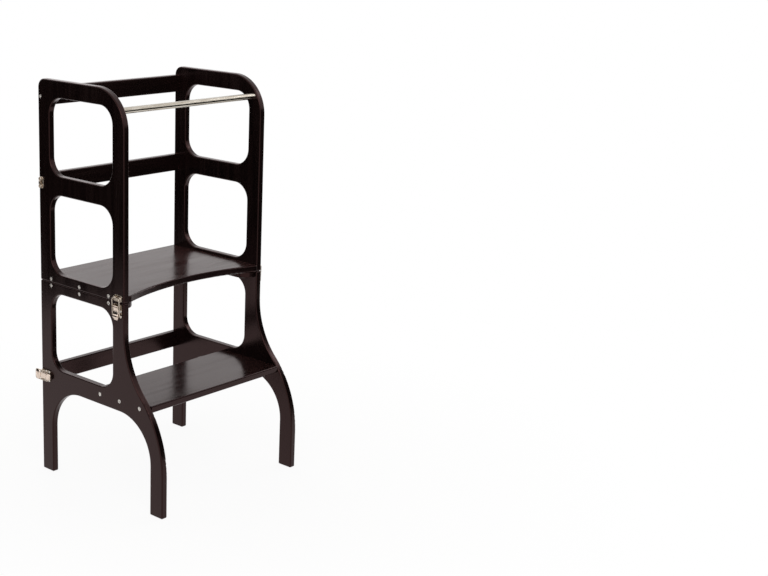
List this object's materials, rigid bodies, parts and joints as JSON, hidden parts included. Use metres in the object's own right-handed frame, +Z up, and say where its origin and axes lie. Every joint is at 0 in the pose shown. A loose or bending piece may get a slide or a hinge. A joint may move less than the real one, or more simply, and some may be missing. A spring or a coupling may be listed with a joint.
{
  "type": "toddler kitchen helper stool",
  "caption": "Dark lacquered plywood learning tower for a toddler, with a step, rails, a steel handrail and toggle latches; it folds at mid-height into a desk and seat.",
  "frame": {"origin": "centre of the overall box, on the floor", "axes": "+X to the object's right seen from the front, +Y to the back with the rails, +Z up"},
  "size_m": [0.451, 0.4176, 0.91],
  "materials": {
    "lacquered_plywood": "satin brown-black lacquer on plywood, softly rounded edges",
    "brushed_steel_tube": "brushed stainless steel",
    "zinc_screws": "bright zinc-plated steel",
    "nickel_hardware": "nickel-plated pressed steel",
    "chromed_levers": "polished chrome",
    "steel_wire": "nickel-plated steel wire"
  },
  "bodies": {
    "lower_frame": {"lower_side_left": "lacquered_plywood", "lower_side_right": "lacquered_plywood", "lower_platform": "lacquered_plywood", "step_board": "lacquered_plywood", "lower_back_rail": "lacquered_plywood", "lower_platform_screws": "zinc_screws", "step_screws": "zinc_screws", "lower_rail_screws": "zinc_screws", "hinge_leaf_lower_left": "nickel_hardware", "hinge_leaf_lower_right": "nickel_hardware", "hinge_pin_left": "nickel_hardware", "hinge_pin_right": "nickel_hardware", "hinge_screws_lower": "zinc_screws", "latch_base_screws": "zinc_screws", "latch_base_front_left": "nickel_hardware", "latch_base_front_right": "nickel_hardware", "latch_base_back_left": "nickel_hardware", "latch_base_back_right": "nickel_hardware", "latch_pin_front_left": "nickel_hardware", "latch_pin_front_right": "nickel_hardware", "latch_pin_back_left": "nickel_hardware", "latch_pin_back_right": "nickel_hardware"},
    "upper_frame": {"upper_side_left": "lacquered_plywood", "upper_side_right": "lacquered_plywood", "upper_platform": "lacquered_plywood", "mid_back_rail": "lacquered_plywood", "top_back_rail": "lacquered_plywood", "handrail_tube": "brushed_steel_tube", "upper_platform_screws": "zinc_screws", "mid_rail_screws": "zinc_screws", "top_rail_screws": "zinc_screws", "hinge_leaf_upper_left": "nickel_hardware", "hinge_leaf_upper_right": "nickel_hardware", "hinge_screws_upper": "zinc_screws", "keeper_screws": "zinc_screws", "latch_keeper_front_left": "nickel_hardware", "latch_keeper_front_right": "nickel_hardware", "latch_keeper_back_left": "nickel_hardware", "latch_keeper_back_right": "nickel_hardware"},
    "lever_front_left": {"latch_lever_front_left": "chromed_levers"},
    "bail_front_left": {"latch_bail_front_left": "steel_wire"},
    "lever_front_right": {"latch_lever_front_right": "chromed_levers"},
    "bail_front_right": {"latch_bail_front_right": "steel_wire"},
    "lever_back_left": {"latch_lever_back_left": "chromed_levers"},
    "bail_back_left": {"latch_bail_back_left": "steel_wire"},
    "lever_back_right": {"latch_lever_back_right": "chromed_levers"},
    "bail_back_right": {"latch_bail_back_right": "steel_wire"}
  },
  "joints": [
    {"name": "fold", "type": "hinge", "parent": "lower_frame", "child": "upper_frame", "pos_m": [0, 0.1967, 0.455], "axis": [-1, 0, 0], "range_deg": [0, 180]},
    {"name": "lever_front_left", "type": "hinge", "parent": "lower_frame", "child": "lever_front_left", "pos_m": [-0.2205, -0.0678, 0.446], "axis": [0, 1, 0], "range_deg": [0, 120]},
    {"name": "bail_front_left", "type": "hinge", "parent": "lever_front_left", "child": "bail_front_left", "pos_m": [-0.2208, -0.0678, 0.427], "axis": [0, -1, 0], "range_deg": [0, 120]},
    {"name": "lever_front_right", "type": "hinge", "parent": "lower_frame", "child": "lever_front_right", "pos_m": [0.2205, -0.0678, 0.446], "axis": [0, -1, 0], "range_deg": [0, 120]},
    {"name": "bail_front_right", "type": "hinge", "parent": "lever_front_right", "child": "bail_front_right", "pos_m": [0.2208, -0.0678, 0.427], "axis": [0, 1, 0], "range_deg": [0, 120]},
    {"name": "lever_back_left", "type": "hinge", "parent": "lower_frame", "child": "lever_back_left", "pos_m": [-0.2205, 0.1877, 0.231], "axis": [0, 0, -1], "range_deg": [0, 120]},
    {"name": "bail_back_left", "type": "hinge", "parent": "lever_back_left", "child": "bail_back_left", "pos_m": [-0.2208, 0.1687, 0.231], "axis": [0, 0, 1], "range_deg": [0, 120]},
    {"name": "lever_back_right", "type": "hinge", "parent": "lower_frame", "child": "lever_back_right", "pos_m": [0.2205, 0.1877, 0.231], "axis": [0, 0, 1], "range_deg": [0, 120]},
    {"name": "bail_back_right", "type": "hinge", "parent": "lever_back_right", "child": "bail_back_right", "pos_m": [0.2208, 0.1687, 0.231], "axis": [0, 0, -1], "range_deg": [0, 120]}
  ],
  "couplings": [
    {"joint": "bail_front_left", "follows": "lever_front_left", "ratio": 1},
    {"joint": "bail_front_right", "follows": "lever_front_right", "ratio": 1},
    {"joint": "bail_back_left", "follows": "lever_back_left", "ratio": 1},
    {"joint": "bail_back_right", "follows": "lever_back_right", "ratio": 1}
  ]
}
